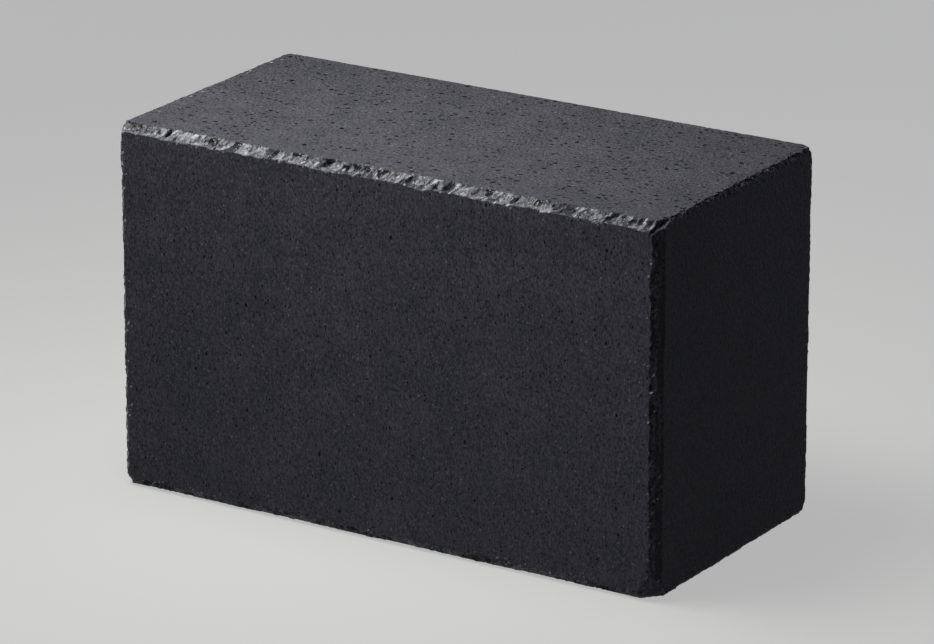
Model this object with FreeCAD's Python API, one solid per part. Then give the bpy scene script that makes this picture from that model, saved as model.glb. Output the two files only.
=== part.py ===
import FreeCAD, Part
import math
import os

Vector = FreeCAD.Vector

# A dense pressed and fired refractory brick, one solid. Millimetres, X along its length,
# Y from its front face to its back face, Z up. The origin is the middle of its bottom bed.
LENGTH = 230.0
DEPTH = 111.0
HEIGHT = 141.0

# The arrises are broken in handling. Each break reaches this far in on the two faces that meet.
FRONT_TOP_BREAK = 3.1
FRONT_RIGHT_BREAK_ON_FRONT = 2.4
FRONT_RIGHT_BREAK_ON_RIGHT = 4.5
FRONT_BOTTOM_BREAK = 2.5
FRONT_LEFT_BREAK = 1.6
RIGHT_TOP_BREAK_ON_RIGHT = 1.5
RIGHT_TOP_BREAK_ON_TOP = 0.8
RIGHT_BOTTOM_BREAK = 1.7
RIGHT_BACK_BREAK = 2.0
LEFT_TOP_BREAK = 1.3
BACK_TOP_BREAK = 0.8
HIDDEN_BREAK = 1.6

# The right top break widens from front to back: share of its reach at each end.
WIDENING = (0.6, 1.5)

# A break is a run of small flat spalls, a pitch apart on average. Each spall's border wanders by
# a share of the break's reach. A crest runs along the middle of the break. At a share of a half
# it lies on the straight line between the two borders, and it wanders out and in from there.
SPALL_PITCH = 8.0
PITCH_SPREAD = 0.35
BORDER_SPREAD = 0.12
CREST = 0.5
CREST_SPREAD = 0.30
DEEPEST_CREST = 0.9
# The two borders and the crest take every so many of the scattered values, so they wander apart.
STRIDES = (2, 3, 5)

# Steps across the front top break: distance from the left end, drop in depth, length along which
# the break rises again, and slant: how far the step runs on for each unit across the break.
STEPS = [(7.7, 0.5, 3.0, 0.3), (19.8, 1.0, 9.0, 0.9), (34.0, 0.7, 4.0, 0.2), (45.3, 0.7, 8.0, 1.1),
         (56.8, 0.35, 3.5, 0.5), (72.0, 0.5, 9.0, 0.4), (88.2, 1.2, 7.0, 1.2), (98.6, 0.3, 5.0, 0.8),
         (106.9, 0.6, 4.0, 0.3), (112.6, 0.7, 3.0, -0.3), (125.4, 0.4, 9.0, 0.6), (140.2, 0.9, 5.0, 0.7),
         (148.5, 0.25, 4.0, 0.5), (153.0, 0.3, 4.0, 0.7), (158.0, 0.25, 4.0, 0.6), (163.2, 0.3, 5.0, 0.8),
         (169.4, 0.8, 3.0, 0.9), (178.3, 0.4, 4.0, 0.4), (186.6, 0.5, 5.0, 1.1), (194.4, 0.3, 5.0, 0.1),
         (208.0, 1.1, 5.0, 0.9), (217.5, 0.3, 6.0, 0.6)]
# A step takes a short run to drop. Its drop moves the two borders and the crest by these shares.
STEP_RUN = 0.7
STEP_ON_FRONT = 0.2
STEP_ON_TOP = 0.7
STEP_AT_CREST = 0.8

# Ledge across the front right break: above it the break reaches further in, by a share.
LEDGE_BELOW_TOP = 3.4
LEDGE_SLANT = 0.41
LEDGE_SHARE = 0.5

# Corners broken off flat: how far each break reaches along X, Y and Z.
FRONT_BOTTOM_RIGHT_CORNER = (9.7, 10.2, 11.5)
FRONT_BOTTOM_LEFT_CORNER = (5.5, 4.5, 6.0)
FRONT_TOP_RIGHT_CORNER = (2.5, 2.5, 2.5)
FRONT_TOP_LEFT_CORNER = (4.5, 5.0, 7.0)
BACK_TOP_RIGHT_CORNER = (4.5, 4.5, 4.0)
BACK_TOP_LEFT_CORNER = (3.5, 3.0, 3.0)
BACK_BOTTOM_RIGHT_CORNER = (4.5, 4.5, 7.0)
BACK_BOTTOM_LEFT_CORNER = (4.0, 4.0, 4.0)

# Shell-shaped bites in the front top break: distance from the left end, how far up the break
# from its middle, width along the arris and depth below the flat of the break.
BITES = [(10.5, 0.5, 5.0, 0.6), (35.4, -0.4, 3.6, 1.1), (41.5, -0.9, 5.0, 0.6), (60.0, 0.9, 5.0, 0.6),
         (65.0, 0.3, 2.4, 0.6), (69.3, -0.3, 2.6, 0.7), (92.0, -0.4, 6.0, 0.7), (103.5, 0.2, 5.0, 0.6),
         (110.2, -0.2, 4.0, 0.6), (116.0, 0.7, 4.0, 0.9), (121.4, 0.9, 4.0, 0.9), (131.5, -0.2, 8.0, 1.0),
         (142.8, 0.0, 4.4, 1.0), (176.0, 0.9, 4.4, 0.8), (182.5, -0.3, 6.0, 0.9), (190.0, 0.9, 4.0, 0.8),
         (204.3, 0.0, 7.0, 0.9), (213.0, 0.8, 4.4, 0.6), (222.5, -0.3, 6.0, 0.6)]

# The tools reach past the block by the overrun. Where the slant of the rings changes, they are at
# least the room apart, so that they don't cross.
OVERRUN = 1.0
ROOM = 3.0

GOLDEN = (math.sqrt(5.0) - 1.0) / 2.0
SIZES = (LENGTH, DEPTH, HEIGHT)
FACES = {"left": "-X", "right": "+X", "front": "-Y", "back": "+Y", "bottom": "-Z", "top": "+Z"}

# First face, second face, reach on the first, reach on the second
ARRISES = [
    ("front", "top", FRONT_TOP_BREAK, FRONT_TOP_BREAK),
    ("front", "right", FRONT_RIGHT_BREAK_ON_FRONT, FRONT_RIGHT_BREAK_ON_RIGHT),
    ("front", "bottom", FRONT_BOTTOM_BREAK, FRONT_BOTTOM_BREAK),
    ("front", "left", FRONT_LEFT_BREAK, FRONT_LEFT_BREAK),
    ("right", "top", RIGHT_TOP_BREAK_ON_RIGHT, RIGHT_TOP_BREAK_ON_TOP),
    ("right", "bottom", RIGHT_BOTTOM_BREAK, RIGHT_BOTTOM_BREAK),
    ("right", "back", RIGHT_BACK_BREAK, RIGHT_BACK_BREAK),
    ("left", "top", LEFT_TOP_BREAK, LEFT_TOP_BREAK),
    ("back", "top", BACK_TOP_BREAK, BACK_TOP_BREAK),
    ("back", "left", HIDDEN_BREAK, HIDDEN_BREAK),
    ("back", "bottom", HIDDEN_BREAK, HIDDEN_BREAK),
    ("left", "bottom", HIDDEN_BREAK, HIDDEN_BREAK),
]

# The three faces that meet at a corner, across X, Y and Z
CORNERS = {
    ("right", "front", "bottom"): FRONT_BOTTOM_RIGHT_CORNER,
    ("left", "front", "bottom"): FRONT_BOTTOM_LEFT_CORNER,
    ("right", "front", "top"): FRONT_TOP_RIGHT_CORNER,
    ("left", "front", "top"): FRONT_TOP_LEFT_CORNER,
    ("right", "back", "top"): BACK_TOP_RIGHT_CORNER,
    ("left", "back", "top"): BACK_TOP_LEFT_CORNER,
    ("right", "back", "bottom"): BACK_BOTTOM_RIGHT_CORNER,
    ("left", "back", "bottom"): BACK_BOTTOM_LEFT_CORNER,
}


def axis_of(face):
    """Number of the axis that a named face lies across."""
    return "XYZ".index(FACES[face][1])


def side_of(face):
    """Outward sign of a named face along its axis."""
    return -1 if FACES[face][0] == "-" else 1


def on_arris(first, second, along, below_first, below_second):
    """Point at a distance along the arris of two faces, at a depth below each of them."""
    axis_3 = 3 - axis_of(first) - axis_of(second)
    point = Vector(0, 0, HEIGHT / 2)
    point[axis_of(first)] += side_of(first) * (SIZES[axis_of(first)] / 2 - below_first)
    point[axis_of(second)] += side_of(second) * (SIZES[axis_of(second)] / 2 - below_second)
    point[axis_3] += along - SIZES[axis_3] / 2
    return point


def scatter(count, seed):
    """Evenly spread value from -1 to 1 for a counted thing, always the same for that count."""
    return 2.0 * math.modf((count + 1) * GOLDEN + seed * GOLDEN * GOLDEN)[0] - 1.0


def stations(length, seed):
    """Places along an arris where one spall ends and the next starts, past both its ends."""
    steps = max(2, round(length / SPALL_PITCH))
    pitch = length / steps
    inner = [pitch * (i + PITCH_SPREAD * scatter(i, seed)) for i in range(1, steps)]
    return [-OVERRUN] + inner + [length + OVERRUN]


def wandering(places, share, row, seed, along):
    """Factor near 1 for a border or the crest, the rows 0, 1 and 2: it wanders by a share from
    station to station, in straight lines."""
    i = max(k for k in range(len(places) - 1) if places[k] <= along)
    low, high = [1 + share * scatter(STRIDES[row] * k, seed + row + 1) for k in (i, i + 1)]
    return low + (high - low) * (along - places[i]) / (places[i + 1] - places[i])


def front_top_rings(length):
    """Rings of the steps of the front top break: along, slant, drop and stretch of its reach. A
    step rises again to nothing where there is room for that before the next."""
    rings = []
    for i, (start, drop, rise, slant) in enumerate(STEPS):
        following = STEPS[i + 1][0] if i + 1 < len(STEPS) else length
        if start + rise < length:
            rings += [(start, slant, 0.0, 1.0), (start + STEP_RUN, slant, drop, 1.0)]
        if start + rise + ROOM < min(following, length):
            rings.append((start + rise, slant, 0.0, 1.0))
    return rings


def front_right_rings(length):
    """Rings of the ledge of the front right break, and of its end above the ledge."""
    ledge = length - LEDGE_BELOW_TOP
    higher = 1 + LEDGE_SHARE
    return [(ledge, LEDGE_SLANT, 0.0, 1.0), (ledge + STEP_RUN, LEDGE_SLANT, 0.0, higher),
            (length + OVERRUN, 0.0, 0.0, higher)]


def rings_along(first, second, places, length):
    """Rings of one spall tool in order. Stations too near a step's ring are left out."""
    if (first, second) == ("front", "top"):
        own = front_top_rings(length)
    elif (first, second) == ("front", "right"):
        own = front_right_rings(length)
    else:
        own = []
    rings = list(own)
    for place in places:
        if all(abs(place - ring[0]) > ROOM for ring in own):
            stretch = 1.0
            if (first, second) == ("right", "top"):
                stretch = WIDENING[0] + (WIDENING[1] - WIDENING[0]) * place / length
            rings.append((place, 0.0, 0.0, stretch))
    return sorted(rings)


def section(first, second, reach_1, reach_2, ring, places, seed):
    """Four corners of the spall tool at one ring, clear of the brick except for its crest."""
    along, slant, drop, stretch = ring
    border_1 = stretch * reach_1 * wandering(places, BORDER_SPREAD, 0, seed, along) + STEP_ON_FRONT * drop
    border_2 = stretch * reach_2 * wandering(places, BORDER_SPREAD, 1, seed, along) + STEP_ON_TOP * drop
    crest = CREST * wandering(places, CREST_SPREAD, 2, seed, along) + STEP_AT_CREST * drop / reach_1
    crest = min(crest, DEEPEST_CREST)
    crest_1 = border_2 * crest
    crest_2 = border_1 * crest
    run_1 = OVERRUN / crest_1
    run_2 = OVERRUN / crest_2
    depths = [
        (-OVERRUN, border_1 + (border_1 - crest_2) * run_1),
        (crest_1, crest_2),
        (border_2 + (border_2 - crest_1) * run_2, -OVERRUN),
        (-OVERRUN, -OVERRUN),
    ]
    points = []
    for below_1, below_2 in depths:
        across = max(-border_2, min(border_1, below_2 - below_1)) / math.sqrt(2)
        points.append(on_arris(first, second, along - slant * across, below_1, below_2))
    return points


def solid_from_facets(points, facets):
    """Closed solid from shared points and flat facets, with its volume positive."""
    faces = [Part.Face(Part.makePolygon([points[i] for i in facet + facet[:1]])) for facet in facets]
    shell = Part.makeShell(faces)
    shell.sewShape()
    solid = Part.makeSolid(shell)
    if solid.Volume < 0:
        solid.reverse()
    return solid


def spall_tool(first, second, reach_1, reach_2, seed):
    """Long tool whose two inner rows of triangles are the broken surface of one arris."""
    length = SIZES[3 - axis_of(first) - axis_of(second)]
    places = stations(length, seed)
    rings = [section(first, second, reach_1, reach_2, ring, places, seed)
             for ring in rings_along(first, second, places, length)]
    sides = len(rings[0])
    points = [p for ring in rings for p in ring]
    facets = [list(range(sides)), [sides * (len(rings) - 1) + i for i in range(sides)]]
    for ring in range(len(rings) - 1):
        for i in range(sides):
            a = ring * sides + i
            b = ring * sides + (i + 1) % sides
            facets.append([a, b, b + sides])
            facets.append([a, b + sides, a + sides])
    return solid_from_facets(points, facets)


def corner_tool(faces, reach):
    """Wedge that breaks one corner off flat, through a point on each of its three arrises."""
    sides = [side_of(face) for face in faces]
    corner = Vector(*[side * size / 2 for side, size in zip(sides, SIZES)]) + Vector(0, 0, HEIGHT / 2)
    depths = [[-OVERRUN] * 3]
    for axis in range(3):
        others = sum(OVERRUN / reach[i] for i in range(3) if i != axis)
        depths.append([reach[axis] * (1 + others) if i == axis else -OVERRUN for i in range(3)])
    points = [corner - Vector(*[sides[i] * d[i] for i in range(3)]) for d in depths]
    return solid_from_facets(points, [[0, 1, 2], [0, 2, 3], [0, 3, 1], [1, 2, 3]])


def bite_tool(along, up, width, depth):
    """Ball that scoops a shell-shaped chip out of the flat of the front top break. Its poles
    lie along the arris, clear of the chip."""
    radius = (width * width / 4 + depth * depth) / (2 * depth)
    middle = CREST * FRONT_TOP_BREAK
    lift = (radius - depth) / math.sqrt(2)
    rise = up / math.sqrt(2)
    centre = on_arris("front", "top", along, middle - lift + rise, middle - lift - rise)
    return Part.makeSphere(radius, centre, Vector(1, 0, 0))


def firebrick():
    """The rectangular block with its spalled arrises, bitten front edge and broken corners."""
    brick = Part.makeBox(LENGTH, DEPTH, HEIGHT, Vector(-LENGTH / 2, -DEPTH / 2, 0))
    for seed, (first, second, reach_1, reach_2) in enumerate(ARRISES):
        brick = brick.cut(spall_tool(first, second, reach_1, reach_2, seed))
    for faces, reach in CORNERS.items():
        brick = brick.cut(corner_tool(faces, reach))
    for along, up, width, depth in BITES:
        brick = brick.cut(bite_tool(along, up, width, depth))
    return brick.Solids[0]


os.makedirs("parts", exist_ok=True)
firebrick().exportStep("parts/firebrick.step")
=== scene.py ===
import math

import bpy
import numpy as np
from bpy.props import FloatProperty, FloatVectorProperty, PointerProperty
from mathutils import Matrix, Vector


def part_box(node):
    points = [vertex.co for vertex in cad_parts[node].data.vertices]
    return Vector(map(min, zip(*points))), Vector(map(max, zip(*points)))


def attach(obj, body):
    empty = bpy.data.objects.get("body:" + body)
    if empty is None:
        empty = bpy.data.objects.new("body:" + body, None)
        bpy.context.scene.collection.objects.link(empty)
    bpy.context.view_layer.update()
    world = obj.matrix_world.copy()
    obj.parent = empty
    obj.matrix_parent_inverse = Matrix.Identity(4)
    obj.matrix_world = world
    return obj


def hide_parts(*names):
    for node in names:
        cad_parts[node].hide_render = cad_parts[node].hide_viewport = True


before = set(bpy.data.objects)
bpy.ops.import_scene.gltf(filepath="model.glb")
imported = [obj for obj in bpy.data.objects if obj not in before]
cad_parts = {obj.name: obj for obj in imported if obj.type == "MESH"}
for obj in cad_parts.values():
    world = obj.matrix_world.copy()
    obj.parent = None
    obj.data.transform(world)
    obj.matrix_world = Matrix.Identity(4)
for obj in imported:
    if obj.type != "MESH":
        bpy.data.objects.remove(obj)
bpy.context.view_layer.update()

bl_info = {
    "name": "Refractory firebrick",
    "version": (1, 0, 0),
    "blender": (4, 5, 0),
    "location": "3D View > Sidebar > Firebrick",
    "description": "Dense refractory brick with spalled arrises, pores and grain, on a plain stage",
    "category": "Add Mesh",
}

MM = 0.001
GOLDEN = (math.sqrt(5.0) - 1.0) / 2.0

# The block, in millimetres, about its middle: X along its length, Y front to back, Z up
LOW, HIGH = (np.array(corner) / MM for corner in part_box("firebrick"))
MIDDLE = (LOW + HIGH) / 2
HALF = (HIGH - LOW) / 2
FACES = {"left": "-X", "right": "+X", "front": "-Y", "back": "+Y", "bottom": "-Z", "top": "+Z"}

# Each arris: its two faces, how far the break reaches on each, how much fine relief it has at
# its border with each, how much coarse relief along its middle, one mesh step along it, and
# how pale the break is at its border with each, from 0 as dark as the skin to 1. The paleness is
# partly the lighter colour of a fresh break and partly painted light: painted highlight on the
# breaks and borders that face the key and the left lamp, and painted shade on the right top and
# front right breaks, which face away from them
ARRISES = {
    ("front", "top"): (3.1, 3.1, 0.32, 0.50, 0.50, 0.38, 0.80, 1.00),
    ("front", "right"): (2.4, 4.5, 1.20, 0.35, 0.35, 0.38, 0.28, 0.02),
    ("front", "bottom"): (2.5, 2.5, 1.35, 0.60, 0.60, 0.46, 0.80, 0.80),
    ("front", "left"): (1.6, 1.6, 0.80, 0.80, 0.30, 0.46, 1.00, 1.00),
    ("right", "top"): (3.0, 0.6, 0.70, 1.20, 0.10, 0.38, 0.00, 0.00),
    ("right", "bottom"): (1.7, 1.7, 0.50, 0.50, 0.30, 0.60, 0.30, 0.30),
    ("right", "back"): (2.0, 2.0, 0.45, 0.45, 0.30, 0.60, 0.30, 0.30),
    ("left", "top"): (1.3, 1.3, 0.40, 0.40, 0.30, 0.60, 0.60, 0.60),
    ("back", "top"): (0.8, 0.8, 0.35, 0.35, 0.15, 0.80, 0.00, 0.00),
    ("back", "left"): (1.6, 1.6, 0.45, 0.45, 0.30, 0.90, 0.50, 0.50),
    ("back", "bottom"): (1.6, 1.6, 0.45, 0.45, 0.30, 0.90, 0.40, 0.40),
    ("left", "bottom"): (1.6, 1.6, 0.45, 0.45, 0.30, 0.90, 0.40, 0.40),
}
# The right top break widens from front to back: share of its reach at each end
WIDENING = (0.6, 1.5)

# Corners broken off flat: the three faces that meet, and the reach along X, Y and Z
CORNERS = {
    ("right", "front", "bottom"): (9.7, 10.2, 11.5),
    ("left", "front", "bottom"): (5.5, 4.5, 6.0),
    ("right", "front", "top"): (2.5, 2.5, 2.5),
    ("left", "front", "top"): (4.5, 5.0, 7.0),
    ("right", "back", "top"): (4.2, 4.2, 3.6),
    ("left", "back", "top"): (3.5, 3.0, 3.0),
    ("right", "back", "bottom"): (4.5, 4.5, 7.0),
    ("left", "back", "bottom"): (4.0, 4.0, 4.0),
}

# Steps across the front top break: distance from the left end, drop in depth, length along
# which the break rises again, and slant: how far the step runs on for each millimetre up it
STEPS = [(7.7, 0.5, 3.0, 0.3), (19.8, 1.0, 9.0, 0.9), (34.0, 0.7, 4.0, 0.2), (45.3, 0.7, 8.0, 1.1),
         (56.8, 0.35, 3.5, 0.5), (72.0, 0.5, 9.0, 0.4), (88.2, 1.2, 7.0, 1.2), (98.6, 0.3, 5.0, 0.8),
         (106.9, 0.6, 4.0, 0.3), (112.6, 0.7, 3.0, -0.3), (125.4, 0.4, 9.0, 0.6), (140.2, 0.9, 5.0, 0.7),
         (148.5, 0.25, 4.0, 0.5), (153.0, 0.3, 4.0, 0.7), (158.0, 0.25, 4.0, 0.6), (163.2, 0.3, 5.0, 0.8),
         (169.4, 0.8, 3.0, 0.9), (178.3, 0.4, 4.0, 0.4), (186.6, 0.5, 5.0, 1.1), (194.4, 0.3, 5.0, 0.1),
         (208.0, 1.1, 5.0, 0.9), (217.5, 0.3, 6.0, 0.6)]

# Each step drops within this run plus this share of its drop
STEP_RUN = 0.3
STEP_RUN_SHARE = 0.4
# Share of a drop by which the break's borders with the front and the top and its crest go in
STEP_ON_FRONT = 0.2
STEP_ON_TOP = 0.7
STEP_AT_CREST = 0.26

# Shell-shaped bites along the front top break: distance from the left end, how far up the
# break from its middle, width along the arris and depth below the flat of the break
BITES = [(10.5, 0.5, 5.0, 0.6), (35.4, -0.4, 3.6, 1.1), (41.5, -0.9, 5.0, 0.6), (60.0, 0.9, 5.0, 0.6),
         (65.0, 0.3, 2.4, 0.6), (69.3, -0.3, 2.6, 0.7), (92.0, -0.4, 6.0, 0.7), (103.5, 0.2, 5.0, 0.6),
         (110.2, -0.2, 4.0, 0.6), (116.0, 0.7, 4.0, 0.9), (121.4, 0.9, 4.0, 0.9), (131.5, -0.2, 8.0, 1.0),
         (142.8, 0.0, 4.4, 1.0), (176.0, 0.9, 4.4, 0.8), (182.5, -0.3, 6.0, 0.9), (190.0, 0.9, 4.0, 0.8),
         (204.3, 0.0, 7.0, 0.9), (213.0, 0.8, 4.4, 0.6), (222.5, -0.3, 6.0, 0.6)]

# Notch at the front right top corner. Its upright cut starts this far from the right end on the
# front face and nears the right end towards the back by its slant. Its ledge lies this far
# below the top at the front and rises towards the back by its own slant.
NOTCH_FROM_RIGHT = 3.65
NOTCH_SLANT = 0.345
LEDGE_BELOW_TOP = 4.3
LEDGE_SLANT = 0.43

# Stretches of the front top break that are pitted, from and to, from the left end
PITTED = [(33.5, 40.5), (63.0, 72.0), (113.0, 125.0), (172.5, 193.0)]

# Layers of the relief of a fracture: size of its bowls in millimetres, how far they tilt, what
# is added to their depth and what the sum is multiplied by, and the channel of its chance
# values. The bowls of a layer are up to this much higher or lower than each other.
COARSE_BOWLS = (5.0, 1.6, -0.55, 2.6, 10)
PIT_BOWLS = (1.7, 0.8, 0.3, 0.9, 20)
MIDDLE_BOWLS = (2.2, 1.3, 0.1, 0.60, 30)
SMALL_BOWLS = (1.3, 1.2, -0.2, 0.55, 40)
BOWL_LIFT = 0.6
# Smooth noise laid over the bowls: its size, its height and its channel
FINEST_GRAIN = (0.8, 0.15, 50)

# Ridges of the fracture run up the front top break and to the right, as a unit vector. Along
# them the relief is stretched: this share of the distance is taken away.
RIDGES = np.array([0.55, 0.59, 0.59])
RIDGE_STRETCH = 0.62
# Least relief of a break, in millimetres, so that no bit of a sharp arris stays
SHALLOWEST = -0.25

# Pale crumbs lie along the arrises that have some pale break, partly bruised aggregate and
# partly painted glints: all of them up to the first distance from the arris, none past the second
WORN_AND_GLINTING_FROM = 3.2
WORN_AND_GLINTING_TO = 5.2

# Each arris is a run of spalls of this mean length. Their lengths, borders and crests wander
# by these shares of themselves.
SPALL_PITCH = 8.0
PITCH_SPREAD = 0.35
BORDER_SPREAD = 0.12
CREST_SPREAD = 0.30
# Share of the fine relief on the broken corners and in the bites and the notch
CORNER_ROUGHNESS = 0.6
BITE_ROUGHNESS = 0.35

# A break is pale from this depth on. In the notch and up to the first distance from it the
# paleness is taken away, as painted shade on the notch, whose cut faces away from the key lamp,
# and it comes back within the second.
PALE_DEPTH = 0.25
NOTCH_SHADE = 0.35
NOTCH_SHADE_EASE = 0.3

# Width of the finely meshed zone along each side of the block, low end and high end of each
# axis, with the number of mesh steps across it
ZONES = {"-X": (4.0, 9), "+X": (6.5, 14), "-Y": (7.0, 15), "+Y": (4.0, 8), "-Z": (5.0, 9),
         "+Z": (6.0, 13)}
# Mesh step in the middle of the faces, and width of a ring round it in mean steps of its rim
COARSE_STEP = 5.0
RING_WIDTH = 1.2
# Points nearer to each other than this are welded. The shift keeps like points from being
# rounded apart.
WELD = 0.001
WELD_SHIFT = 0.137
# How often the span is halved in which a line leaves the brick
HALVINGS = 13
# Facets that meet at more than this are shaded with a sharp edge
SHARP_ANGLE = math.radians(30)

# Pores and grains: spacing, and least and greatest radius in millimetres. A radius below
# nothing leaves one out. Pores and dimples are painted dark as painted shade in the holes,
# the glints are painted highlights in the break, and the crumbs are partly bruised grains and
# partly painted glints.
FINE_PORES = (0.95, 0.00, 0.26)
MEDIUM_PORES = (1.25, -0.16, 0.47)
LARGE_PORES = (4.5, -1.10, 0.85)
BED_DIMPLES = (2.2, -0.60, 0.95)
GRIT = (2.0, -0.50, 0.55)
GLINTS = (0.9, -0.20, 0.34)
CRUMBS_AND_GLINTS = (1.4, -0.50, 0.58)
# Sizes of the other patterns in millimetres: how the pores are bent and by how much, the
# clouds of the skin, the chips and flakes of a break, and the grain over everything
WOBBLE_SIZE = 1.6
WOBBLE_REACH = 0.35
CLOUD_SIZE = 16.0
CHIP_SIZE = 3.0
FLAKE_SIZE = 1.6
GRAIN_SIZE = 0.7
# Factors on the coordinates of a pattern: one below 1 draws it out along that axis
TALL_PORES = (1.0, 1.0, 0.75)
WIDE_DIMPLES = (0.7, 1.0, 1.0)
DRAWN_GRAIN = (1.0, 0.5, 0.6)
# How dark the painted shade in the finest pores is, how much a chip's own tone counts against
# the flakes, and the factors on the colour of the darkest and the palest grains
FINE_DARKNESS = 0.65
CHIP_SHARE = 0.32
SPECKS = (0.45, 1.60)
# Height of the bumps in millimetres, depth of a pore against that of the grain, and roughness
BUMP_HEIGHT = 0.35
PORE_DEPTH = 0.8
SKIN_ROUGHNESS = 0.70
BREAK_ROUGHNESS = 0.38


def axis_and_side(face):
    """Axis number and outward sign of a named face."""
    sign, axis = FACES[face]
    return "XYZ".index(axis), -1 if sign == "-" else 1


def depth_below(points, face):
    """Distance of points under one flat face of the block."""
    axis, side = axis_and_side(face)
    return HALF[axis] - side * points[:, axis]


def scatter(count, seed):
    """Evenly spread value from -1 to 1 for a counted thing: a golden ratio sequence."""
    return 2.0 * (((count + 1) * GOLDEN + seed * GOLDEN * GOLDEN) % 1.0) - 1.0


def hashed(cells, channel):
    """Value from 0 to 1 for each whole-numbered cell: its three numbers multiplied by large
    primes, joined by exclusive or and stirred twice."""
    mask = np.int64(0xFFFFFFFF)
    mixed = cells[..., 0] * 73856093 ^ cells[..., 1] * 19349663 ^ cells[..., 2] * 83492791
    mixed = (mixed ^ (channel * 49979687 + 12345)) & mask
    for _ in range(2):
        mixed = ((mixed ^ (mixed >> 15)) * 1274126177) & mask
        mixed = ((mixed ^ (mixed >> 13)) * 2246822519) & mask
    return mixed / float(0xFFFFFFFF)


def grain(points, size, channel):
    """Smooth noise from about -1 to 1: random values at the corners of cubes of one size,
    blended along each axis by the ease curve 3t^2 - 2t^3 and taken times 1.6, because blending
    narrows their range."""
    scaled = points / size
    cells = np.floor(scaled).astype(np.int64)
    part = scaled - cells
    part = part * part * (3 - 2 * part)
    total = np.zeros(len(points))
    for corner in np.ndindex(2, 2, 2):
        offset = np.array(corner)
        weight = np.prod(np.where(offset == 1, part, 1 - part), axis=1)
        total += weight * (2 * hashed(cells + offset, channel) - 1)
    return 1.6 * total


def scallops(points, size, tilt, channel):
    """Depth of a shell-like fracture: around each point c of a jittered lattice lies a tilted
    bowl, h + g.(p - c) - |p - c|^2, and the deepest bowl wins, so sharp ridges part them."""
    scaled = points / size
    cells = np.floor(scaled).astype(np.int64)
    deepest = np.full(len(points), -1e9)
    for corner in np.ndindex(3, 3, 3):
        cell = cells + np.array(corner) - 1
        centre = cell + np.stack([hashed(cell, channel + i) for i in range(3)], axis=1)
        slope = np.stack([2 * hashed(cell, channel + 3 + i) - 1 for i in range(3)], axis=1)
        away = scaled - centre
        bowl = BOWL_LIFT * hashed(cell, channel + 6) + tilt * (slope * away).sum(axis=1)
        deepest = np.maximum(deepest, bowl - (away * away).sum(axis=1))
    return deepest


def stations(length, seed):
    """Places along an arris where one spall ends and the next starts."""
    steps = max(2, round(length / SPALL_PITCH))
    pitch = length / steps
    inner = [pitch * (i + PITCH_SPREAD * scatter(i, seed)) for i in range(1, steps)]
    return np.array([-1.0] + inner + [length + 1.0])


def stepped(along, down):
    """Depth of the steps across the front top break, from the places along it and down it:
    each drops within a short run along its own slanted line and rises evenly to nothing over
    its own length."""
    depth = np.zeros(len(along))
    for start, drop, rise, slant in STEPS:
        knots = [start, start + STEP_RUN + STEP_RUN_SHARE * drop, start + rise]
        depth = np.maximum(depth, np.interp(along + slant * down, knots, [0.0, drop, 0.0]))
    return depth


def pitted(points):
    """Share of pitting, 1 inside the pitted stretches of the front top break, easing to 0
    within a short way of their ends."""
    along = points[:, 0] + HALF[0]
    share = np.zeros(len(points))
    for start, end in PITTED:
        share = np.maximum(share, ease(along - start + 0.5) * ease(end - along + 0.5))
    return share * (points[:, 1] < 0) * (points[:, 2] > 0)


def ease(share):
    """Smooth step 3t^2 - 2t^3 of a share held between 0 and 1."""
    share = np.clip(share, 0, 1)
    return share * share * (3 - 2 * share)


def chord(radius_0, angle_0, radius_1, angle_1, angle):
    """Distance from the sharp corner to the straight line between two points that are given
    by distance and angle, looking along another angle."""
    return (radius_0 * radius_1 * np.sin(angle_1 - angle_0)
            / (radius_0 * np.sin(angle - angle_0) + radius_1 * np.sin(angle_1 - angle)))


def inside_break(points, relief, seed, faces, reach_1, reach_2, fine_1, fine_2, coarse):
    """How far points lie inside the broken surface of one arris. Across the arris the break
    is two straight lines that meet at a crest, and their ends and crest wander along it. The
    fine relief of the fracture is laid over them by a share that eases from one border to the
    other, and the coarse relief by a sine that is nothing at both borders."""
    axis = 3 - axis_and_side(faces[0])[0] - axis_and_side(faces[1])[0]
    below_1 = depth_below(points, faces[0])
    below_2 = depth_below(points, faces[1])
    along = points[:, axis] + HALF[axis]
    places = stations(2 * HALF[axis], seed)
    index = np.arange(len(places))
    spread_1 = 1 + BORDER_SPREAD * scatter(2 * index, seed + 1)
    spread_2 = 1 + BORDER_SPREAD * scatter(3 * index, seed + 2)
    border_1 = np.interp(along, places, reach_1 * spread_1)
    border_2 = np.interp(along, places, reach_2 * spread_2)
    crest = np.interp(along, places, 0.5 * (1 + CREST_SPREAD * scatter(5 * index, seed + 3)))
    if faces == ("right", "top"):
        widening = np.interp(along, [0, 2 * HALF[1]], WIDENING)
        border_1, border_2 = border_1 * widening, border_2 * widening
    if faces == ("front", "top"):
        drop = stepped(along, (below_2 - below_1) / math.sqrt(2))
        border_1 = border_1 + STEP_ON_FRONT * drop
        border_2 = border_2 + STEP_ON_TOP * drop
        crest = crest + STEP_AT_CREST * drop
    crest_angle = np.arctan2(border_2, border_1)
    crest_radius = crest * np.hypot(border_1, border_2)
    angle = np.arctan2(below_1, below_2)
    first = chord(border_1, 0.0, crest_radius, crest_angle, np.minimum(angle, crest_angle))
    second = chord(crest_radius, crest_angle, border_2, math.pi / 2, np.maximum(angle, crest_angle))
    across = np.clip(angle / (math.pi / 2), 0, 1)
    fine = fine_1 + (fine_2 - fine_1) * ease(across)
    carved = coarse * np.sin(math.pi * across) * relief[0] + fine * relief[1]
    return np.hypot(below_1, below_2) - np.where(angle < crest_angle, first, second) - carved


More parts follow.
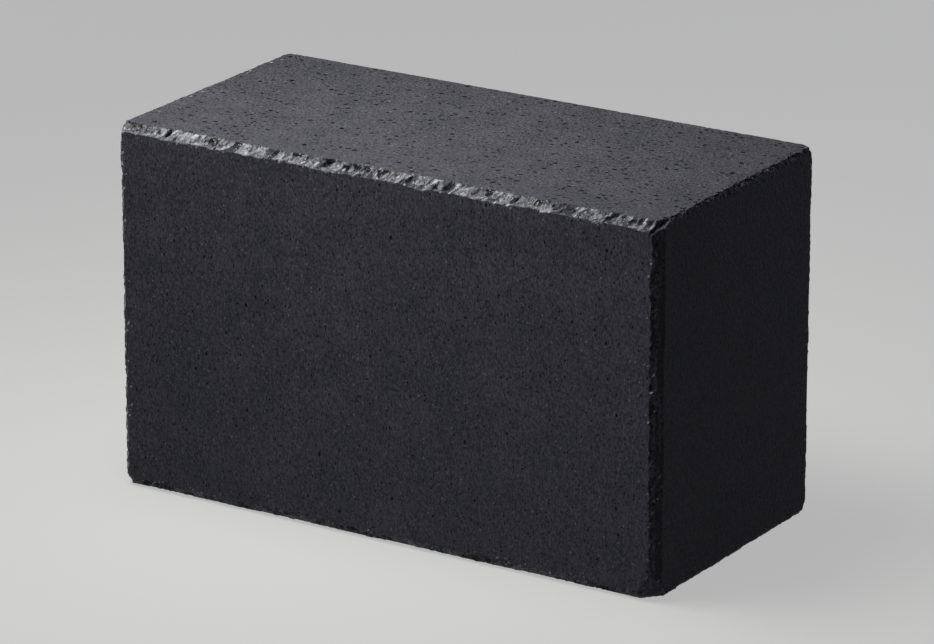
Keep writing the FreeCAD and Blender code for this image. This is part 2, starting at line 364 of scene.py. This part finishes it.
def outside_bites(points):
    """How far points lie outside the nearest of the ball-shaped bites in the front top break."""
    flat = ARRISES["front", "top"][0] / 2
    clear = np.full(len(points), 1e9)
    for along, up, width, depth in BITES:
        radius = (width * width / 4 + depth * depth) / (2 * depth)
        out = (radius - depth) / math.sqrt(2)
        shift = up / math.sqrt(2)
        centre = np.array([along - HALF[0], -HALF[1] + flat - out + shift,
                           HALF[2] - flat + out + shift])
        clear = np.minimum(clear, np.linalg.norm(points - centre, axis=1) - radius)
    return clear


def outside_notch(points):
    """How far points lie outside the notch at the front right top corner: the larger of their
    distances to the left of its cut and below its ledge."""
    behind = depth_below(points, "front")
    left = depth_below(points, "right") + NOTCH_SLANT * behind - NOTCH_FROM_RIGHT
    below = depth_below(points, "top") + LEDGE_SLANT * behind - LEDGE_BELOW_TOP
    return np.maximum(left / math.hypot(1, NOTCH_SLANT), below / math.hypot(1, LEDGE_SLANT))


def inside_corner(points, faces, reach):
    """How far points lie inside the flat break of one corner: the distance from the plane
    through one point on each of its three arrises."""
    depths = np.stack([depth_below(points, face) for face in faces], axis=1)
    normal = 1 / np.array(reach)
    return (depths @ normal - 1) / np.linalg.norm(normal)


def inside(points, relief):
    """How far points lie inside the whole broken surface, with the relief of the fracture
    added to each break by its roughness."""
    clear = np.minimum(outside_bites(points), outside_notch(points)) - BITE_ROUGHNESS * relief[1]
    for seed, (faces, values) in enumerate(ARRISES.items()):
        clear = np.minimum(clear, inside_break(points, relief, seed, faces, *values[:5]))
    for faces, reach in CORNERS.items():
        clear = np.minimum(clear, inside_corner(points, faces, reach) - CORNER_ROUGHNESS * relief[1])
    return clear


def draw_in(roots, tips, relief):
    """Share of the way from root to tip at which each line leaves the brick, by halving."""
    low = np.zeros(len(roots))
    high = np.ones(len(roots))
    whole = inside(tips, relief) >= 0
    for _ in range(HALVINGS):
        half = (low + high) / 2
        solid = inside(roots + half[:, None] * (tips - roots), relief) >= 0
        low = np.where(solid, half, low)
        high = np.where(solid, high, half)
    return np.where(whole, 1.0, low)


def bowls(points, size, tilt, level, height, channel):
    """One layer of relief: the depth of its bowls plus a level, times a height."""
    return height * (scallops(points, size, tilt, channel) + level)


def fracture_relief(points):
    """Coarse and fine relief of a fresh break, in millimetres. The coarse one is one layer of
    shell-like bowls. The fine one is bowls in two smaller sizes with smooth noise laid over
    them, less a layer of small bowls where the break is pitted. The two larger sizes are
    stretched along the ridges of the fracture: p - s (p.r) r."""
    stretched = points - RIDGE_STRETCH * (points @ RIDGES)[:, None] * RIDGES
    coarse = bowls(stretched, *COARSE_BOWLS)
    size, height, channel = FINEST_GRAIN
    fine = (bowls(stretched, *MIDDLE_BOWLS) + bowls(points, *SMALL_BOWLS)
            - pitted(points) * bowls(points, *PIT_BOWLS) + height * grain(points, size, channel))
    return np.maximum(np.stack([coarse, fine]), SHALLOWEST)


def tensor(lines_a, lines_b):
    """Grid of two sets of lines: its points, and its squares as four point numbers each."""
    a, b = np.meshgrid(lines_a, lines_b, indexing="ij")
    number = np.arange(a.size).reshape(a.shape)
    squares = np.stack([number[:-1, :-1], number[1:, :-1], number[1:, 1:], number[:-1, 1:]],
                       axis=-1)
    return np.stack([a.ravel(), b.ravel()], axis=1), squares.reshape(-1, 4)


def zipped(outer, inner):
    """Strip of triangles between two rows of points with different counts: each step of a
    row is joined to the point of the other row that its middle has reached."""
    n, m = len(outer) - 1, len(inner) - 1
    outer_middles = (np.arange(n) + 0.5) / n
    inner_middles = (np.arange(m) + 0.5) / m
    reached = np.searchsorted(inner_middles, outer_middles, side="left")
    passed = np.searchsorted(outer_middles, inner_middles, side="right")
    i, j = np.arange(n), np.arange(m)
    outer_triangles = np.stack([i, i + 1, reached + n + 1], axis=1)
    inner_triangles = np.stack([passed, j + n + 2, j + n + 1], axis=1)
    return np.concatenate([outer, inner]), np.concatenate([outer_triangles, inner_triangles])


def rim(low, high, counts):
    """Four rows of points round a rectangle, anticlockwise from its low corner."""
    corners = [(low[0], low[1]), (high[0], low[1]), (high[0], high[1]), (low[0], high[1])]
    return [np.linspace(corners[i], corners[(i + 1) % 4], counts[i] + 1) for i in range(4)]


def graded(low, high, counts):
    """Rectangle whose rim has a given count of steps on each side, in rings whose steps
    double inwards until an even coarse grid fills the rest."""
    span = np.array(high) - np.array(low)
    coarse = [max(2, round(side / COARSE_STEP)) for side in span]
    goal = [coarse[0], coarse[1], coarse[0], coarse[1]]
    pieces = []
    while counts != goal:
        inner = [max(goal[i], math.ceil(counts[i] / 2)) for i in range(4)]
        steps = [span[i % 2] / counts[i] for i in range(4)]
        inset = RING_WIDTH * sum(steps) / 4
        next_low, next_high = np.array(low) + inset, np.array(high) - inset
        rows = zip(rim(low, high, counts), rim(next_low, next_high, inner))
        pieces += [zipped(outer, row) for outer, row in rows]
        low, high, counts = next_low, next_high, inner
    lines = [np.linspace(low[i], high[i], coarse[i] + 1) for i in range(2)]
    pieces.append(tensor(*lines))
    return pieces


def edge_steps(face, side):
    """Mesh steps along the arris of two faces, between the zones at its ends."""
    faces = (face, side) if (face, side) in ARRISES else (side, face)
    axis = 3 - axis_and_side(face)[0] - axis_and_side(side)[0]
    free = 2 * HALF[axis] - ZONES["-" + "XYZ"[axis]][0] - ZONES["+" + "XYZ"[axis]][0]
    return round(free / ARRISES[faces][5])


def zone_lines(axis):
    """Mesh lines across the zones at the low and the high end of one axis."""
    low_width, low_steps = ZONES["-" + "XYZ"[axis]]
    high_width, high_steps = ZONES["+" + "XYZ"[axis]]
    low = np.linspace(-HALF[axis], -HALF[axis] + low_width, low_steps + 1)
    high = np.linspace(HALF[axis] - high_width, HALF[axis], high_steps + 1)
    return low, high


def face_pieces(face):
    """Flat mesh pieces of one face: a fine grid in its four corners and along its four
    arrises, and a graded middle. Points are in three dimensions, polygons face outwards."""
    axis, side = axis_and_side(face)
    axis_a, axis_b = [i for i in range(3) if i != axis]
    named = {letter: name for name, letter in FACES.items()}
    low_a, high_a = zone_lines(axis_a)
    low_b, high_b = zone_lines(axis_b)
    at_low_b, at_high_b = [edge_steps(face, named[s + "XYZ"[axis_b]]) for s in "-+"]
    at_low_a, at_high_a = [edge_steps(face, named[s + "XYZ"[axis_a]]) for s in "-+"]
    pieces = [tensor(a, b) for a in (low_a, high_a) for b in (low_b, high_b)]
    pieces += [tensor(np.linspace(low_a[-1], high_a[0], at_low_b + 1), low_b),
               tensor(np.linspace(low_a[-1], high_a[0], at_high_b + 1), high_b),
               tensor(low_a, np.linspace(low_b[-1], high_b[0], at_low_a + 1)),
               tensor(high_a, np.linspace(low_b[-1], high_b[0], at_high_a + 1))]
    pieces += graded((low_a[-1], low_b[-1]), (high_a[0], high_b[0]),
                     [at_low_b, at_high_a, at_high_b, at_low_a])
    turned = (side < 0) != (axis == 1)
    shaped = []
    for flat, polygons in pieces:
        points = np.empty((len(flat), 3))
        points[:, axis] = side * HALF[axis]
        points[:, axis_a] = flat[:, 0]
        points[:, axis_b] = flat[:, 1]
        shaped.append((points, polygons[:, ::-1] if turned else polygons))
    return shaped


def sharp_block():
    """Closed mesh of the sharp-edged block, with like points of its pieces welded."""
    points, polygons, count = [], [], 0
    for face in FACES:
        for piece_points, piece_polygons in face_pieces(face):
            points.append(piece_points)
            polygons.append(piece_polygons + count)
            count += len(piece_points)
    points = np.concatenate(points)
    keys = np.round(points / WELD + WELD_SHIFT).astype(np.int64)
    _, first, number = np.unique(keys, axis=0, return_index=True, return_inverse=True)
    number = number.ravel()
    return points[first], [number[p] for p in polygons]


def freshness_and_light(points):
    """How pale the break is at each point, partly as a fresh break and partly as painted highlight
    and shade: a value for each arris that eases from its border with one face to its border with
    the other, and the mean of all arrises, each weighted by one over the fourth power of half a
    millimetre plus its distance."""
    total = np.zeros(len(points))
    weights = np.zeros(len(points))
    for faces, values in ARRISES.items():
        below_1, below_2 = depth_below(points, faces[0]), depth_below(points, faces[1])
        across = ease(np.arctan2(below_1, below_2) / (math.pi / 2))
        weight = 1 / (np.hypot(below_1, below_2) + 0.5) ** 4
        total += weight * (values[6] + (values[7] - values[6]) * across)
        weights += weight
    return total / weights


def worn(points):
    """Nearness to an arris that has some pale break, where pale crumbs lie that are partly bruised
    grains and partly painted glints: 1 within a few millimetres of it, then falling evenly to 0."""
    nearest = np.full(len(points), 1e9)
    for faces, values in ARRISES.items():
        if values[6] > 0:
            away = np.hypot(depth_below(points, faces[0]), depth_below(points, faces[1]))
            nearest = np.minimum(nearest, away)
    return np.clip((WORN_AND_GLINTING_TO - nearest) / (WORN_AND_GLINTING_TO - WORN_AND_GLINTING_FROM), 0, 1)


def broken_block(factor):
    """Points and polygons of the finished brick: each point of the sharp block is drawn in,
    on the line to an inner block, until it lies on the broken surface, whose relief is taken
    times a factor. Also how pale its surface is, partly as a fresh break and partly as painted
    highlight and shade. That paleness eases in with its depth and is nothing in the notch, as
    painted shade. Also how near an arris it lies, which places the crumbs and painted glints."""
    sharp, polygons = sharp_block()
    inner_low = -HALF + np.array([ZONES["-" + letter][0] for letter in "XYZ"])
    inner_high = HALF - np.array([ZONES["+" + letter][0] for letter in "XYZ"])
    roots = np.clip(sharp, inner_low, inner_high)
    near = np.count_nonzero(np.abs(sharp - roots) > 1e-6, axis=1) >= 2
    share = np.ones(len(sharp))
    smooth = draw_in(roots[near], sharp[near], (0.0, 0.0))
    surface = roots[near] + smooth[:, None] * (sharp[near] - roots[near])
    share[near] = draw_in(roots[near], sharp[near], factor * fracture_relief(surface))
    reach = np.linalg.norm(sharp - roots, axis=1)
    points = roots + share[:, None] * (sharp - roots)
    fresh = freshness_and_light(sharp) * np.clip((1 - share) * reach / PALE_DEPTH, 0, 1)
    # Painted shade: no paleness in the notch
    fresh *= ease((outside_notch(points) - NOTCH_SHADE) / NOTCH_SHADE_EASE)
    return points, polygons, fresh, worn(sharp)


def add(tree, kind, settings=None, **links):
    """New node of one kind with its settings, sockets set to values or linked to sockets."""
    node = tree.nodes.new(kind)
    for name, value in (settings or {}).items():
        setattr(node, name, value)
    for name, value in links.items():
        key = int(name[1:]) if name[0] == "n" and name[1:].isdigit() else name.replace("_", " ")
        socket = node.inputs[key]
        if isinstance(value, bpy.types.NodeSocket):
            tree.links.new(value, socket)
        else:
            socket.default_value = value
    return node


def linear(code):
    """Linear colour with alpha from an sRGB hex code."""
    parts = [int(code[i:i + 2], 16) / 255 for i in (1, 3, 5)]
    return [p / 12.92 if p <= 0.04045 else ((p + 0.055) / 1.055) ** 2.4 for p in parts] + [1.0]


def pores(tree, place, pitch, least, most):
    """Pores scattered one to a cube of the pitch, as a mask that is 1 in the middle of each.
    Their radius varies from pore to pore, and one whose radius is below nothing is left out."""
    cells = add(tree, "ShaderNodeTexVoronoi", {"feature": "F1"}, Vector=place, Scale=1 / (pitch * MM))
    chance = add(tree, "ShaderNodeSeparateColor", Color=cells.outputs["Color"])
    share = add(tree, "ShaderNodeMapRange", Value=chance.outputs["Red"], To_Min=least / pitch,
                To_Max=most / pitch)
    radius = add(tree, "ShaderNodeMath", {"operation": "MAXIMUM"}, n0=share.outputs[0], n1=0.001)
    inner = add(tree, "ShaderNodeMath", {"operation": "MULTIPLY"}, n0=radius.outputs[0], n1=0.6)
    mask = add(tree, "ShaderNodeMapRange", {"interpolation_type": "SMOOTHSTEP"},
               Value=cells.outputs["Distance"], From_Min=radius.outputs[0], From_Max=inner.outputs[0])
    return mask.outputs[0]


def hole_mask(tree, coordinates):
    """Mask of all pores: three sizes that are taller than wide, of which the finest are faint,
    and wide dimples on the two beds alone. Noise bends them, so that none is quite round."""
    place = coordinates.outputs["Object"]
    wobble = add(tree, "ShaderNodeTexNoise", Vector=place, Scale=1 / (WOBBLE_SIZE * MM), Detail=3.0,
                 Roughness=0.7)
    shift = add(tree, "ShaderNodeVectorMath", {"operation": "SCALE"}, Vector=wobble.outputs["Color"],
                Scale=WOBBLE_REACH * MM)
    bent = add(tree, "ShaderNodeVectorMath", {"operation": "ADD"}, n0=place, n1=shift.outputs[0])
    tall = add(tree, "ShaderNodeMapping", Vector=bent.outputs[0], Scale=TALL_PORES).outputs[0]
    wide = add(tree, "ShaderNodeMapping", Vector=bent.outputs[0], Scale=WIDE_DIMPLES).outputs[0]
    faint = add(tree, "ShaderNodeMath", {"operation": "MULTIPLY"}, n0=pores(tree, tall, *FINE_PORES),
                n1=FINE_DARKNESS)
    some = add(tree, "ShaderNodeMath", {"operation": "MAXIMUM"}, n0=faint.outputs[0],
               n1=pores(tree, tall, *MEDIUM_PORES))
    most = add(tree, "ShaderNodeMath", {"operation": "MAXIMUM"}, n0=some.outputs[0],
               n1=pores(tree, tall, *LARGE_PORES))
    facing = add(tree, "ShaderNodeSeparateXYZ", Vector=coordinates.outputs["Normal"])
    upright = add(tree, "ShaderNodeMath", {"operation": "ABSOLUTE"}, n0=facing.outputs["Z"])
    bed = add(tree, "ShaderNodeMapRange", Value=upright.outputs[0], From_Min=0.90, From_Max=0.99)
    dimples = add(tree, "ShaderNodeMath", {"operation": "MULTIPLY"}, n0=pores(tree, wide, *BED_DIMPLES),
                  n1=bed.outputs[0])
    return add(tree, "ShaderNodeMath", {"operation": "MAXIMUM"}, n0=most.outputs[0],
               n1=dimples.outputs[0]).outputs[0]


def along_ridges(tree, place):
    """Coordinates in which a pattern is stretched along the ridges of a break: p - s (p.r) r."""
    along = add(tree, "ShaderNodeVectorMath", {"operation": "DOT_PRODUCT"}, n0=place, n1=tuple(RIDGES))
    back = add(tree, "ShaderNodeMath", {"operation": "MULTIPLY"}, n0=along.outputs["Value"],
               n1=-RIDGE_STRETCH)
    taken = add(tree, "ShaderNodeVectorMath", {"operation": "SCALE"}, n0=tuple(RIDGES),
                Scale=back.outputs[0])
    return add(tree, "ShaderNodeVectorMath", {"operation": "ADD"}, n0=place,
               n1=taken.outputs[0]).outputs[0]


def skin_colour(tree, place, settings):
    """Colour of the pressed skin: its dark and its light tone, mixed by large soft clouds."""
    clouds = add(tree, "ShaderNodeTexNoise", Vector=place, Scale=1 / (CLOUD_SIZE * MM), Detail=4.0,
                 Roughness=0.6)
    cloudy = add(tree, "ShaderNodeMapRange", Value=clouds.outputs[0], From_Min=0.38, From_Max=0.62)
    return add(tree, "ShaderNodeMix", {"data_type": "RGBA"}, Factor=cloudy.outputs[0],
               n6=(*settings.skin_dark, 1.0), n7=(*settings.skin_light, 1.0)).outputs[2]


def break_colour(tree, ridged, settings):
    """Colour of a fresh break: its dark and its light tone, mixed by the sum of a chance value
    for each chip and of finer flakes. The palest chips are partly painted glints."""
    chips = add(tree, "ShaderNodeTexVoronoi", {"feature": "F1"}, Vector=ridged,
                Scale=1 / (CHIP_SIZE * MM))
    chip = add(tree, "ShaderNodeSeparateColor", Color=chips.outputs["Color"])
    flakes = add(tree, "ShaderNodeTexNoise", Vector=ridged, Scale=1 / (FLAKE_SIZE * MM), Detail=3.0,
                 Roughness=0.65)
    mixed = add(tree, "ShaderNodeMath", {"operation": "MULTIPLY_ADD"}, n0=chip.outputs["Green"],
                n1=CHIP_SHARE, n2=flakes.outputs[0])
    tone = add(tree, "ShaderNodeMapRange", Value=mixed.outputs[0], From_Min=0.54, From_Max=1.02)
    return add(tree, "ShaderNodeMix", {"data_type": "RGBA"}, Factor=tone.outputs[0],
               n6=(*settings.fresh_dark, 1.0), n7=(*settings.fresh_light_and_glint, 1.0)).outputs[2]


def fired_refractory(settings):
    """Dense refractory, pressed in a steel mould and fired. That gives a matt, nearly black
    cool grey skin, flat but full of fine pores, and a lighter fresh break. The pores are painted
    dark as painted shade in the holes. The break is paler where the lamps fall on it, as painted
    highlight, and as dark as the skin where they don't, as painted shade. Its glints and the
    crumbs along the arrises are partly painted glints."""
    material = bpy.data.materials.new("fired_refractory")
    material.use_nodes = True
    tree = material.node_tree
    tree.nodes.clear()
    coordinates = add(tree, "ShaderNodeTexCoord")
    place = coordinates.outputs["Object"]
    ridged = along_ridges(tree, place)
    fresh = add(tree, "ShaderNodeAttribute", {"attribute_name": "fresh"}).outputs["Fac"]
    worn_and_glinting_edge = add(tree, "ShaderNodeAttribute", {"attribute_name": "worn"}).outputs["Fac"]
    holes = hole_mask(tree, coordinates)

    # The break's paleness is partly a fresh break's colour and partly painted highlight and shade
    both = add(tree, "ShaderNodeMix", {"data_type": "RGBA"}, Factor=fresh,
               n6=skin_colour(tree, place, settings), n7=break_colour(tree, ridged, settings))
    drawn = add(tree, "ShaderNodeMapping", Vector=place, Scale=DRAWN_GRAIN)
    streaks = add(tree, "ShaderNodeTexNoise", Vector=drawn.outputs[0], Scale=1 / (GRAIN_SIZE * MM),
                  Detail=2.0, Roughness=0.7)
    speck = add(tree, "ShaderNodeMapRange", Value=streaks.outputs[0], From_Min=0.3, From_Max=0.7,
                To_Min=SPECKS[0], To_Max=SPECKS[1])
    grained = add(tree, "ShaderNodeMix", {"data_type": "RGBA", "blend_type": "MULTIPLY"}, Factor=1.0,
                  n6=both.outputs[2], n7=speck.outputs[0])
    gritty = add(tree, "ShaderNodeMix", {"data_type": "RGBA"}, Factor=pores(tree, place, *GRIT),
                 n6=grained.outputs[2], n7=(*settings.grit, 1.0))
    # Painted glints: pale specks in the pale break
    glints = add(tree, "ShaderNodeMath", {"operation": "MULTIPLY"}, n0=pores(tree, place, *GLINTS),
                 n1=fresh)
    # Crumbs along the arrises: partly bruised grains, partly painted glints
    crumbs_and_glints = add(tree, "ShaderNodeMath", {"operation": "MULTIPLY"}, n0=pores(tree, ridged, *CRUMBS_AND_GLINTS),
                 n1=worn_and_glinting_edge)
    pale = add(tree, "ShaderNodeMath", {"operation": "MAXIMUM"}, n0=glints.outputs[0],
               n1=crumbs_and_glints.outputs[0])
    bright = add(tree, "ShaderNodeMix", {"data_type": "RGBA"}, Factor=pale.outputs[0],
                 n6=gritty.outputs[2], n7=(*settings.crumb_and_glint, 1.0))
    # Pores painted near black: painted shade in the holes
    dark = add(tree, "ShaderNodeMix", {"data_type": "RGBA"}, Factor=holes, n6=bright.outputs[2],
               n7=(*settings.pore_shade, 1.0))

    height = add(tree, "ShaderNodeMath", {"operation": "MULTIPLY_ADD"}, n0=holes, n1=-PORE_DEPTH,
                 n2=streaks.outputs[0])
    bump = add(tree, "ShaderNodeBump", Strength=0.8, Distance=BUMP_HEIGHT * MM, Height=height.outputs[0])
    gloss = add(tree, "ShaderNodeMapRange", Value=fresh, To_Min=SKIN_ROUGHNESS,
                To_Max=BREAK_ROUGHNESS)
    shader = add(tree, "ShaderNodeBsdfPrincipled", Base_Color=dark.outputs[2], Roughness=gloss.outputs[0],
                 Normal=bump.outputs[0], IOR=1.55, Specular_IOR_Level=0.12)
    add(tree, "ShaderNodeOutputMaterial", Surface=shader.outputs[0])
    return material


def colour(name, description, code):
    """Colour property with a default from an sRGB hex code."""
    return FloatVectorProperty(name=name, description=description, subtype="COLOR", min=0.0, max=1.0,
                               default=linear(code)[:3])


def watts(name, description, default):
    """Lamp power property in watts."""
    return FloatProperty(name=name, description=description, default=default, min=0.0, unit="POWER")


class FirebrickSettings(bpy.types.PropertyGroup):
    """Sizes and colours of the brick and its stage that a user would change"""
    relief: FloatProperty(name="Relief", description="Factor on the depth of the relief of the breaks",
                          default=1.0, min=0.0, max=1.2)
    skin_dark: colour("Skin, dark", "Pressed skin in its darker clouds", "#575860")
    skin_light: colour("Skin, light", "Pressed skin in its lighter clouds", "#605F69")
    fresh_dark: colour("Break, dark", "Darkest chips of a fresh break", "#2E2F33")
    # Palest chips of the break, partly painted glints
    fresh_light_and_glint: colour("Break, light", "Lightest chips of a fresh break", "#D9DBE5")
    grit: colour("Grit", "Pale grains that show in the skin", "#8C8C92")
    # Pale crumbs and glints: partly bruised grains, partly painted glints
    crumb_and_glint: colour("Crumbs", "Glints in a break and bruised grains along the arrises", "#DADADF")
    # Near black inside the pores: painted shade in the holes
    pore_shade: colour("Pores", "Inside of the pores", "#1A1A1D")
    floor: colour("Floor", "Floor and backdrop as the camera shows them", "#E0E0E0")
    key_power: watts("Key lamp", "Soft lamp over the left end of the top", 0.77)
    left_power: watts("Left lamp", "Low lamp that lights the left end and its arrises", 3.5)
    front_power: watts("Front lamp", "Low lamp before the front, aimed at its right side", 0.135)
    side_power: watts("Side lamp", "Low lamp behind the right end that grazes it", 1.80)


class FIREBRICK_OT_block(bpy.types.Operator):
    """Make the brick with its broken arrises and corners"""
    bl_idname = "firebrick.block"
    bl_label = "Brick"

    def execute(self, context):
        settings = context.scene.firebrick
        points, polygons, *shares = broken_block(settings.relief)
        mesh = bpy.data.meshes.new("firebrick_block")
        faces = [face for group in polygons for face in group.tolist()]
        mesh.from_pydata(((points + MIDDLE) * MM).tolist(), [], faces)
        for name, values in zip(("fresh", "worn"), shares):
            layer = mesh.attributes.new(name, "FLOAT", "POINT")
            layer.data.foreach_set("value", values.astype(np.float32))
        mesh.polygons.foreach_set("use_smooth", np.ones(len(mesh.polygons), dtype=bool))
        mesh.set_sharp_from_angle(angle=SHARP_ANGLE)
        mesh.materials.append(fired_refractory(settings))
        brick = bpy.data.objects.new("firebrick_block", mesh)
        context.collection.objects.link(brick)
        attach(brick, "root")
        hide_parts("firebrick")
        return {"FINISHED"}


# Half of the floor's side in metres
FLOOR_HALF = 12.0
# The floor lies a hair below the brick, so that no two faces share a plane
FLOOR_GAP = 0.05 * MM
# What the floor throws on the brick, and the share of its shown colour that is light of its own
FLOOR_BOUNCE = "#505050"
FLOOR_GLOW = 0.60
WORLD_STRENGTH = 0.01

# Middle of the brick in metres
MIDDLE_PLACE = (0.0, 0.0, float(HALF[2]) * MM)
# Soft square lamps: place and target in metres, width, beam in degrees, and colour
LAMPS = {
    "key": ((-0.125, -0.12, 0.52), (-0.02, -0.06, 0.141), 0.28, 110.0, "#FFFEF8"),
    "left": ((-1.3, 0.05, 0.12), MIDDLE_PLACE, 0.6, 180.0, "#FFFFFF"),
    "front": ((-0.25, -1.25, 0.15), (0.19, -0.055, 0.08), 0.6, 40.0, "#FFFFFF"),
    "side": ((0.45, 1.3, 0.3), MIDDLE_PLACE, 0.6, 180.0, "#F1F3FF"),
}

# The photo's camera, from a box fitted to the arrises: where it stands round the brick's
# middle, how far off, its shift aside and down, all in metres, and its lens in millimetres
CAMERA_AZIMUTH = math.radians(32.351)
CAMERA_ELEVATION = math.radians(18.670)
CAMERA_DISTANCE = 2.0946
CAMERA_ACROSS = 0.00112
CAMERA_DOWN = 0.00159
CAMERA_LENS = 219.72


def camera_axes():
    """Right, up and backward directions of the camera, from its azimuth and elevation."""
    back = Vector((math.sin(CAMERA_AZIMUTH) * math.cos(CAMERA_ELEVATION),
                   -math.cos(CAMERA_AZIMUTH) * math.cos(CAMERA_ELEVATION), math.sin(CAMERA_ELEVATION)))
    right = Vector((math.cos(CAMERA_AZIMUTH), math.sin(CAMERA_AZIMUTH), 0.0))
    return right, back.cross(right), back


def softbox(name, place, target, size, spread, code, power):
    """Square area lamp at a place, turned to a target, with the width of its beam in degrees,
    its colour as a hex code and its power in watts."""
    data = bpy.data.lights.new(name, "AREA")
    data.shape = "SQUARE"
    data.size = size
    data.energy = power
    data.color = linear(code)[:3]
    data.spread = math.radians(spread)
    lamp = bpy.data.objects.new(name, data)
    turn = (Vector(target) - Vector(place)).to_track_quat("-Z", "Y").to_matrix().to_4x4()
    lamp.matrix_world = Matrix.Translation(place) @ turn
    bpy.context.collection.objects.link(lamp)


def seen(tree):
    """Mask that is 1 for the camera and for mirror-like rays, and 0 for the light thrown on."""
    path = add(tree, "ShaderNodeLightPath")
    glossy = add(tree, "ShaderNodeMath", {"operation": "MAXIMUM"}, n0=path.outputs["Is Camera Ray"],
                 n1=path.outputs["Is Glossy Ray"])
    return add(tree, "ShaderNodeMath", {"operation": "MAXIMUM"}, n0=glossy.outputs[0],
               n1=path.outputs["Is Transmission Ray"]).outputs[0]


class FIREBRICK_OT_stage(bpy.types.Operator):
    """Make the pale floor, the soft lamps and the camera"""
    bl_idname = "firebrick.stage"
    bl_label = "Stage"

    def execute(self, context):
        scene = context.scene
        settings = scene.firebrick
        mesh = bpy.data.meshes.new("stage_floor")
        corners = [(-1, -1), (1, -1), (1, 1), (-1, 1)]
        points = [(x * FLOOR_HALF, y * FLOOR_HALF, -FLOOR_GAP) for x, y in corners]
        mesh.from_pydata(points, [], [(0, 1, 2, 3)])
        floor = bpy.data.objects.new("stage_floor", mesh)
        context.collection.objects.link(floor)
        paper = bpy.data.materials.new("stage_paper")
        paper.use_nodes = True
        tree = paper.node_tree
        tree.nodes.clear()
        mask = seen(tree)
        colour = add(tree, "ShaderNodeMix", {"data_type": "RGBA"}, Factor=mask, n6=linear(FLOOR_BOUNCE),
                     n7=(*settings.floor, 1.0))
        lit = add(tree, "ShaderNodeBsdfDiffuse", Color=colour.outputs[2])
        even = add(tree, "ShaderNodeEmission", Color=(*settings.floor, 1.0))
        share = add(tree, "ShaderNodeMath", {"operation": "MULTIPLY"}, n0=mask, n1=FLOOR_GLOW)
        both = add(tree, "ShaderNodeMixShader", Fac=share.outputs[0], n1=lit.outputs[0],
                   n2=even.outputs[0])
        add(tree, "ShaderNodeOutputMaterial", Surface=both.outputs[0])
        mesh.materials.append(paper)

        world = bpy.data.worlds.new("stage_world")
        world.use_nodes = True
        tree = world.node_tree
        tree.nodes.clear()
        back = add(tree, "ShaderNodeBackground", Color=linear("#FFFFFF"), Strength=WORLD_STRENGTH)
        add(tree, "ShaderNodeOutputWorld", Surface=back.outputs[0])
        scene.world = world

        for name, values in LAMPS.items():
            softbox(name, *values, getattr(settings, name + "_power"))

        right, up, back_way = camera_axes()
        data = bpy.data.cameras.new("camera")
        data.lens = CAMERA_LENS
        data.sensor_width = 36.0
        camera = bpy.data.objects.new("camera", data)
        place = Vector(MIDDLE_PLACE) + back_way * CAMERA_DISTANCE
        place += right * CAMERA_ACROSS - up * CAMERA_DOWN
        turn = Matrix((right, up, back_way)).transposed().to_4x4()
        camera.matrix_world = Matrix.Translation(place) @ turn
        context.collection.objects.link(camera)
        scene.camera = camera
        scene.view_settings.view_transform = "Standard"
        return {"FINISHED"}


class FIREBRICK_PT_panel(bpy.types.Panel):
    """Panel in the 3D view's sidebar"""
    bl_idname = "FIREBRICK_PT_panel"
    bl_label = "Firebrick"
    bl_space_type = "VIEW_3D"
    bl_region_type = "UI"
    bl_category = "Firebrick"

    def draw(self, context):
        column = self.layout.column()
        for name in FirebrickSettings.__annotations__:
            column.prop(context.scene.firebrick, name)
        column.operator("firebrick.block")
        column.operator("firebrick.stage")


CLASSES = (FirebrickSettings, FIREBRICK_OT_block, FIREBRICK_OT_stage, FIREBRICK_PT_panel)


def register():
    """Add the settings, the operators and the panel to Blender."""
    for item in CLASSES:
        bpy.utils.register_class(item)
    bpy.types.Scene.firebrick = PointerProperty(type=FirebrickSettings)


def unregister():
    """Take the settings, the operators and the panel out of Blender."""
    del bpy.types.Scene.firebrick
    for item in reversed(CLASSES):
        bpy.utils.unregister_class(item)


def main():
    """Make the brick and its stage."""
    register()
    bpy.ops.firebrick.block()
    bpy.ops.firebrick.stage()


if __name__ == "__main__":
    main()
